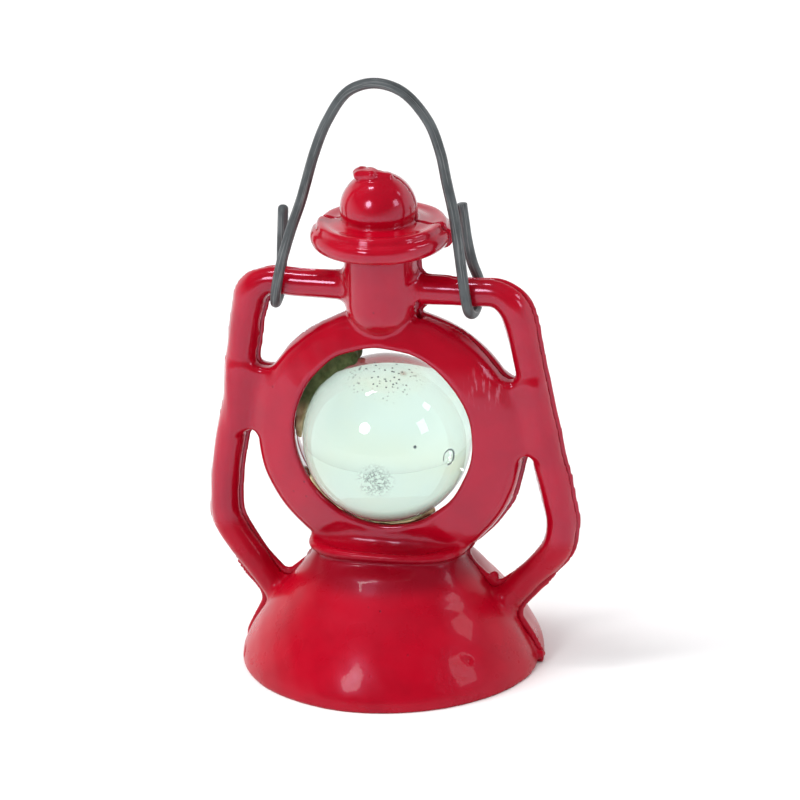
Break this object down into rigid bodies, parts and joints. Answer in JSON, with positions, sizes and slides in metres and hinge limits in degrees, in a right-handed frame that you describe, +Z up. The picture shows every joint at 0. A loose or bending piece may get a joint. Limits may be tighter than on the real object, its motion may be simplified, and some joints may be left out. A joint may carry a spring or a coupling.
{
  "type": "miniature lantern",
  "caption": "Small cast barn lantern ornament in two glossy enamelled halves, with a clear glass marble set in its ring and a bent wire bail that swings on the two arms.",
  "frame": {"origin": "under the middle of the base, on the surface that the lantern stands on", "axes": "+Z is up through the knob; -Y is the front, which the front half of the casting faces; +X is the right-hand side seen from the front, so the bail turns about X"},
  "size_m": [0.0355, 0.0286, 0.0578],
  "materials": {
    "enamel": "thick glossy red enamel over a cast metal surface",
    "glass": "clear, faintly green, scratched, with small bubbles",
    "cement": "dull cream bedding cement",
    "wire": "dark grey drawn iron wire",
    "steel": "plain steel pin"
  },
  "bodies": {
    "lantern": {"front_casting": "enamel", "rear_casting": "enamel", "glass_marble": "glass", "upper_cement": "cement", "lower_cement": "cement", "neck_dowel": "steel", "left_ring_dowel": "steel", "right_ring_dowel": "steel", "foot_dowel": "steel"},
    "bail": {"bail": "wire"}
  },
  "joints": [
    {"name": "bail_swing", "type": "hinge", "parent": "lantern", "child": "bail", "pos_m": [0, 0, 0.0371], "axis": [1, 0, 0], "range_deg": [-120, 125]}
  ]
}
